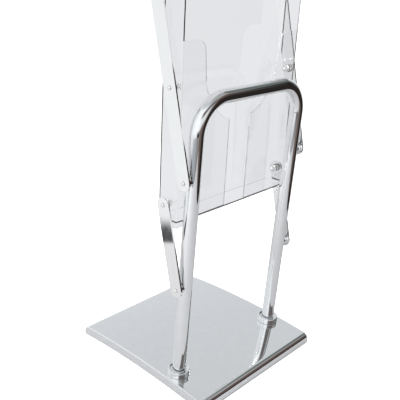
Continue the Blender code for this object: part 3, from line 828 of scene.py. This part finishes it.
def build_pocket_floor():
    """The strip between the walls, with the tongue that fills the slot's foot."""
    low, high = span("pocket_floor", POCKET)
    tongue, inside = SLOT_HALF - GAP, low.y + SHEET + GAP
    right = [
        (tongue, low.y, 0),
        (tongue, inside, 0),
        (high.x, inside, FLOOR_CORNER),
        (high.x, high.y, FLOOR_CORNER),
    ]
    left = [(-x, y, radius) for x, y, radius in reversed(right)]
    bm = plate([rounded(right + left, closed=True)], high.z - low.z, low.z, EASE, 2)
    floor = finish_mesh(bm, "pocket_floor_strip", POCKET, [CLEAR])
    stands_for(floor, "pocket", "clear_acrylic", "pocket_floor")


# ---- Desk ----

DESK_THICK = 0.006
LIP_RADIUS = 0.012
DESK_CORNER = 0.014
CORNER_ROWS = 10
LIP_ROWS = 12


def desk_line(low, high):
    """The panel's underside from the lip's top to the far edge, as (y, z) points with normals."""
    bend = Vector((low.y + LIP_RADIUS, low.z + LIP_RADIUS))
    line = []
    for i in range(CORNER_ROWS + 1):
        drop = DESK_CORNER * math.sin(math.pi / 2 * (1 - i / CORNER_ROWS))
        line.append((Vector((low.y, high.z - DESK_CORNER + drop)), Vector((-1, 0))))
    for i in range(LIP_ROWS + 1):
        angle = math.radians(180 + 90 * i / LIP_ROWS)
        normal = Vector((math.cos(angle), math.sin(angle)))
        line.append((bend + LIP_RADIUS * normal, normal))
    for i in range(CORNER_ROWS + 1):
        reach = DESK_CORNER * math.sin(math.pi / 2 * i / CORNER_ROWS)
        line.append((Vector((high.y - DESK_CORNER + reach, low.z)), Vector((0, -1))))
    return line


def desk_half(point, low, high):
    """Half the panel's width at a point of its line: less where the four corners are rounded."""
    into_corner = point.x - (high.y - DESK_CORNER)
    if point.x == low.y:
        into_corner = point.y - (high.z - DESK_CORNER)
    if into_corner <= 0:
        return high.x
    return high.x - DESK_CORNER + math.sqrt(max(DESK_CORNER**2 - into_corner**2, 0))


def build_desk_panel():
    """The reading surface, bent up into a lip along its near edge."""
    low, high = span("desk_panel", DESK)
    bm = bmesh.new()
    rows = []
    for point, normal in desk_line(low, high):
        half = desk_half(point, low, high)
        inner = point - normal * DESK_THICK
        rows.append([
            [bm.verts.new((-half, *point)), bm.verts.new((half, *point))],
            [bm.verts.new((-half, *inner)), bm.verts.new((half, *inner))],
        ])
    edges = []
    for (under, over), (under_next, over_next) in zip(rows, rows[1:]):
        bm.faces.new((*under, *reversed(under_next)))
        bm.faces.new((*over, *reversed(over_next)))
        edges.append(bm.faces.new((under[0], over[0], over_next[0], under_next[0])))
        edges.append(bm.faces.new((under[1], over[1], over_next[1], under_next[1])))
    for under, over in (rows[0], rows[-1]):
        edges.append(bm.faces.new((*under, *reversed(over))))
    for face in edges:
        face.material_index = 1
    panel = finish_mesh(bm, "desk_sheet", DESK, [CLEAR, CUT_EDGE])
    stands_for(panel, "desk", "clear_acrylic", "desk_panel")


BRACKET_THICK = 0.004
BRACKET_END_R = 0.013
BRACKET_SHOULDER = 0.006
BRACKET_EASE = 0.0005
FLANGE_CORNER = 0.004
FLANGE_IN = 0.001  # how far the flange stays inside the upright's outline
FLANGE_SKIN = 0.0001  # and inside its upper face


def build_brackets():
    """Angle brackets: an upright plate on the cross rod's stud, and a flange under the desk."""
    for side_name, side in SIDES:
        node = f"desk_bracket_{side_name}"
        low, high = span(node, DESK)
        outer, inner = ends(low, high)
        start = outer - BRACKET_THICK if side > 0 else -outer
        half, top = high.y, high.z
        shoulder = top - BRACKET_SHOULDER
        outline = arc((0, 0), BRACKET_END_R, 205, 335, 24)
        outline += [(half, shoulder), (half, top), (-half, top), (-half, shoulder)]
        hole = arc((0, 0), STUD_HOLE, 0, 360, 24)[:-1]
        upright = plate([outline, hole], BRACKET_THICK, start, BRACKET_EASE)
        bmesh.ops.transform(upright, matrix=YZ, verts=upright.verts)
        reach = half - FLANGE_IN
        near, far = (side * inner, FLANGE_CORNER), (side * (outer - FLANGE_IN), 0)
        if side < 0:
            near, far = far, near
        corners = [(*near, -reach), (*far, -reach), (*far, reach), (*near, reach)]
        flange_outline = rounded([(x, y, radius) for x, radius, y in corners], closed=True)
        bottom = top - BRACKET_THICK + FLANGE_SKIN
        flange = plate([flange_outline], BRACKET_THICK - 2 * FLANGE_SKIN, bottom, BRACKET_EASE)
        bracket = finish_mesh(combined(upright, flange, "UNION"), f"{node}_plate", DESK, [BAR])
        stands_for(bracket, "desk", "chrome", node)


def build_desk_screws():
    """Countersunk screws through the desk into the brackets' flanges."""
    for side_name, _ in SIDES:
        for end in ("near", "far"):
            node = f"desk_screw_{end}_{side_name}"
            low, high = span(node, DESK)
            length = high.z - low.z
            bm = sunk_screw((high.x - low.x) / 2, length)
            bmesh.ops.translate(bm, vec=(0, 0, length), verts=bm.verts)
            made = finish_mesh(bm, f"{node}_flat_head", standing(DESK, low, high), [BRIGHT])
            stands_for(made, "desk", "bright_fastener", node)


ROD_EDGE = 0.0010


def build_rod():
    """The cross rod between the mast's bars, bored for the knobs' studs."""
    low, high = span("cross_rod", ROD)
    r = (high.y - low.y) / 2
    profile = rounded([
        (STUD_HOLE, low.x, EASE), (r, low.x, ROD_EDGE), (r, high.x, ROD_EDGE), (STUD_HOLE, high.x, EASE),
    ], closed=True)
    rod = finish_mesh(revolve(profile), "cross_rod_tube", facing(ROD, 1, (0, 0, 0)), [TUBE])
    stands_for(rod, "mast", "chrome", "cross_rod")


KNOB_HEIGHT = 0.020
KNOB_DISH = 0.0012  # depth of the hollow in a knob's face
KNOB_DISH_R = (0.62, 0.70)  # the hollow's floor and rim, as shares of the knob's radius
KNOB_EDGE = 0.0030
KNOB_BACK = ((0, 0.0080), (0.002, 0.006))  # its rear edge's bevel: how far in, and at which height
KNOB_NECK_R = 0.0100
KNOB_NECK = 0.0048
KNOB_GRIP = (0.0085, 0.0165)  # the knurled part's two ends
KNURLS = 36
KNURL_DEPTH = 0.035  # as a share of the radius
STUD_R = 0.004
STUD_TIP = 0.0006


def knob_profile(r, stud_reach):
    """A knob's profile from the middle of its face to its stud's tip, and the knurled part's place in it."""
    dish = KNOB_HEIGHT - KNOB_DISH
    floor_r, rim_r = (share * r for share in KNOB_DISH_R)
    face = rounded([
        (0, dish, 0), (floor_r, dish, 0.002), (rim_r, KNOB_HEIGHT, 0.001),
        (r - KNOB_EDGE, KNOB_HEIGHT, 0.0010), (r, KNOB_HEIGHT - KNOB_EDGE, 0.0008),
    ])
    grip = [(r, KNOB_GRIP[1]), (r, KNOB_GRIP[0])]
    (side_in, side_z), (back_in, back_z) = KNOB_BACK
    under = rounded([
        (r - side_in, side_z, 0), (r - back_in, back_z, 0.001), (KNOB_NECK_R + 0.0005, KNOB_NECK, 0.001),
        (KNOB_NECK_R, 0, 0.0004), (STUD_R, 0, EASE), (STUD_R, STUD_TIP - stud_reach, 0),
    ])
    tip = [(STUD_R - STUD_TIP, -stud_reach), (0, -stud_reach)]
    return face + grip + under + tip, len(face)


def build_knobs():
    """Knurled clamping knobs, each with its stud."""
    for side_name, side in SIDES:
        node = f"desk_knob_{side_name}"
        low, high = span(node, ROD)
        outer, inner = ends(low, high)
        seat = outer - KNOB_HEIGHT
        profile, grip = knob_profile((high.y - low.y) / 2, seat - inner)

        def knurl(i, angle, grip=grip):
            return 1 - KNURL_DEPTH * (0.5 - 0.5 * math.cos(KNURLS * angle)) if i in (grip, grip + 1) else 1

        bm = revolve(profile, KNURLS * 6, knurl)
        knob = finish_mesh(bm, f"{node}_grip", facing(ROD, side, (side * seat, 0, 0)), [BRIGHT])
        stands_for(knob, f"knob_{side_name}", "chrome", node)


# ---- Studio ----

CAMERA_AT = (-0.9270, -0.8451, 0.8515)
CAMERA_LENS = 56.76
CAMERA_HEADING = 47.38  # degrees from +Y towards +X
CAMERA_PITCH = -21.8
CAMERA_ROLL = 2.59


def build_camera():
    """The scene's camera, with a little roll."""
    data = bpy.data.cameras.new("camera")
    data.lens = CAMERA_LENS
    camera = bpy.data.objects.new("camera", data)
    bpy.context.scene.collection.objects.link(camera)
    camera.location = CAMERA_AT
    heading = Matrix.Rotation(math.radians(-CAMERA_HEADING), 4, "Z")
    pitch = Matrix.Rotation(math.radians(90 + CAMERA_PITCH), 4, "X")
    roll = Matrix.Rotation(math.radians(CAMERA_ROLL), 4, "Z")
    camera.rotation_euler = (heading @ pitch @ roll).to_euler()
    bpy.context.scene.camera = camera


FLOOR_HALF = 40
PAPER_SIDES = (-0.75, 0.85)  # the paper that shows in the chrome, left and right of the camera's line
PAPER_ENDS = (-1.2, 4.0)  # towards the camera and away from it
PAPER_THICK = 0.0004
FLOOR_GLOW = 0.75  # the table is lit from below too


def build_floor():
    """The pale floor. Reflections and the acrylic don't see it: they see the paper or the studio."""
    bm = bmesh.new()
    bmesh.ops.create_grid(bm, x_segments=8, y_segments=8, size=FLOOR_HALF)
    nodes = Nodes("floor_paper")
    nodes.base_colour(nodes.noise(30, 3), (0.90, 0.90, 0.90), (0.92, 0.92, 0.92))
    nodes.set(Roughness=0.9, Emission_Color=(1, 1, 1, 1), Emission_Strength=FLOOR_GLOW)
    floor = finish_mesh(bm, "floor", BASE, [nodes.material])
    floor.visible_glossy = False
    floor.visible_transmission = False


def build_paper():
    """The strip of paper under the lectern, lined up with the camera. Only reflections show its edges."""
    bm = bmesh.new()
    (left, right), (near, far) = PAPER_SIDES, PAPER_ENDS
    corners = ((left, near), (right, near), (right, far), (left, far))
    bm.faces.new([bm.verts.new((x, y, 0)) for x, y in corners])
    nodes = Nodes("paper_sweep")
    nodes.base_colour(nodes.noise(80, 3), (0.56, 0.56, 0.57), (0.59, 0.59, 0.60))
    nodes.set(Roughness=0.9)
    place = Matrix.Translation((0, 0, PAPER_THICK)) @ Matrix.Rotation(math.radians(-CAMERA_HEADING), 4, "Z")
    paper = finish_mesh(bm, "paper", place, [nodes.material])
    paper.visible_camera = False
    paper.visible_diffuse = False
    paper.visible_transmission = False
    paper.visible_shadow = False


class Sky:
    """The studio by direction: heading in degrees from +Y towards +X, and height above the horizon."""

    def __init__(self, tree):
        self.tree = tree
        ray = tree.nodes.new("ShaderNodeTexCoord").outputs["Generated"]
        split = tree.nodes.new("ShaderNodeSeparateXYZ")
        tree.links.new(ray, split.inputs["Vector"])
        self.heading = self.math("DEGREES", self.math("ARCTAN2", split.outputs["X"], split.outputs["Y"]))
        self.height = self.math("DEGREES", self.math("ARCSINE", split.outputs["Z"]))
        self.colour = None

    def math(self, operation, *values):
        node = self.tree.nodes.new("ShaderNodeMath")
        node.operation = operation
        for socket, value in zip(node.inputs, values):
            if isinstance(value, (int, float)):
                socket.default_value = value
            else:
                self.tree.links.new(value, socket)
        return node.outputs["Value"]

    def step(self, value, start, end):
        """0 before start and 1 after end, with a smooth rise between them."""
        node = self.tree.nodes.new("ShaderNodeMapRange")
        node.interpolation_type = "SMOOTHSTEP"
        node.inputs["From Min"].default_value = start
        node.inputs["From Max"].default_value = end
        self.tree.links.new(value, node.inputs["Value"])
        return node.outputs["Result"]

    def card(self, colour, heading, height, amount=1.0):
        """A card hung in the studio. It fades in and out over its (start, full, full, end) directions."""
        middle = (heading[0] + heading[3]) / 2
        aside = self.math("WRAP", self.math("SUBTRACT", self.heading, middle), 180, -180)
        across = [h - middle for h in heading]
        shares = [
            self.step(aside, across[0], across[1]), self.step(aside, across[3], across[2]),
            self.step(self.height, height[0], height[1]), self.step(self.height, height[3], height[2]),
        ]
        cover = amount
        for share in shares:
            cover = self.math("MULTIPLY", cover, share)
        mix = self.tree.nodes.new("ShaderNodeMix")
        mix.data_type = "RGBA"
        self.tree.links.new(cover, mix.inputs["Factor"])
        self.tree.links.new(self.colour, mix.inputs["A"])
        mix.inputs["B"].default_value = (*colour, 1)
        self.colour = mix.outputs["Result"]


SKY_BANDS = (  # height in degrees, and the light's colour there
    (-70, (0.80, 0.80, 0.81)),
    (-14, (0.92, 0.93, 0.94)),
    (12, (0.80, 0.82, 0.84)),
    (32, (0.70, 0.72, 0.74)),
    (60, (0.63, 0.65, 0.66)),
)
CARDS = (  # colour, heading (start, full, full, end), height (start, full, full, end), cover
    ((1.12, 1.14, 1.15), (-165, -130, -80, -55), (-16, -4, 46, 62), 1.0),
    ((0.95, 0.97, 0.98), (-70, -50, 10, 30), (-30, -27, 50, 65), 1.0),
    ((0.40, 0.41, 0.41), (90, 125, 170, 205), (34, 40, 60, 80), 1.0),
    ((0.16, 0.18, 0.15), (66, 76, 110, 130), (24, 30, 34, 40), 1.0),
    ((0.15, 0.17, 0.16), (88, 100, 112, 130), (-8, 2, 48, 56), 1.0),
    ((0.13, 0.09, 0.08), (118, 130, 150, 178), (-26, -22, 26, 42), 1.0),
    ((0.016, 0.017, 0.013), (106, 114, 122, 134), (-8, 2, 22, 31), 1.0),
    ((0.025, 0.022, 0.020), (116, 124, 144, 156), (-12, -8, 6, 16), 1.0),
    ((0.12, 0.095, 0.09), (150, 165, 215, 232), (20, 24, 36, 42), 0.9),
    ((0.16, 0.12, 0.11), (140, 155, 185, 205), (-60, -50, -8, 4), 1.0),
    ((0.22, 0.19, 0.18), (182, 200, 222, 240), (-45, -35, -9, -2), 0.9),
    ((0.025, 0.020, 0.018), (96, 106, 148, 164), (-60, -50, -4, 4), 1.0),
    ((0.36, 0.39, 0.43), (-150, -130, -95, -60), (-26, -24, -20, -16), 0.9),
    ((0.01, 0.02, 0.03), (-168, -157, -143, -132), (-19, -16, -13, -8), 1.0),
    ((0.08, 0.08, 0.085), (-75, -70, -25, -15), (-27.5, -26, -24.6, -23.4), 1.0),
)
SEEN_LEVELS = (  # what other kinds of ray find all round instead
    ("Is Transmission Ray", (0.81, 0.815, 0.835)),  # a shaded backdrop, seen through the acrylic
    ("Is Diffuse Ray", (0.6, 0.6, 0.6)),
    ("Is Camera Ray", (1.0, 1.0, 1.0)),
)


def build_world():
    """A white studio for the eye; for reflections a light room with a window side and a darker side."""
    world = bpy.data.worlds.new("studio")
    bpy.context.scene.world = world
    world.use_nodes = True
    tree = world.node_tree
    background = tree.nodes["Background"]
    sky = Sky(tree)
    ramp = tree.nodes.new("ShaderNodeValToRGB")
    share = sky.math("DIVIDE", sky.math("ADD", sky.height, 90), 180)
    tree.links.new(share, ramp.inputs["Fac"])
    stops = ramp.color_ramp.elements
    stops[0].color = (*SKY_BANDS[0][1], 1)
    stops[-1].color = (*SKY_BANDS[-1][1], 1)
    for height, colour in SKY_BANDS:
        stops.new((height + 90) / 180).color = (*colour, 1)
    sky.colour = ramp.outputs["Color"]
    for colour, heading, height, cover in CARDS:
        sky.card(colour, heading, height, cover)
    path = tree.nodes.new("ShaderNodeLightPath")
    for kind, colour in SEEN_LEVELS:
        mix = tree.nodes.new("ShaderNodeMix")
        mix.data_type = "RGBA"
        tree.links.new(path.outputs[kind], mix.inputs["Factor"])
        tree.links.new(sky.colour, mix.inputs["A"])
        mix.inputs["B"].default_value = (*colour, 1)
        sky.colour = mix.outputs["Result"]
    tree.links.new(sky.colour, background.inputs["Color"])


KEY_AT = (-2.4, 0.0, 1.8)
KEY_SIZE = 1.2
KEY_POWER = 90


def build_key_light():
    """A soft light from the left, aimed at the base. Reflections see the studio's cards instead."""
    data = bpy.data.lights.new("key_light", "AREA")
    data.energy = KEY_POWER
    data.size = KEY_SIZE
    light = bpy.data.objects.new("key_light", data)
    light.location = KEY_AT
    light.rotation_euler = (-Vector(KEY_AT)).to_track_quat("-Z", "Y").to_euler()
    light.visible_glossy = False
    bpy.context.scene.collection.objects.link(light)


def dress_cad_nodes():
    """Gives the CAD's own nodes the same materials, for the pieces that keep their CAD shape."""
    for part in frame["record"]["subparts"]:
        materials = NODES[part["node"]].data.materials
        materials.clear()
        materials.append(LOOKS[part["material_slot"]])


build_camera()
build_floor()
build_paper()
build_world()
build_key_light()
bpy.context.scene.view_settings.view_transform = "Standard"

build_base()
build_feet()
build_hoop()
build_collars()
build_lugs()
build_screws()
build_pocket_fittings()
build_bars()
build_pocket_shell()
build_pocket_floor()
build_desk_panel()
build_brackets()
build_desk_screws()
build_rod()
build_knobs()
dress_cad_nodes()
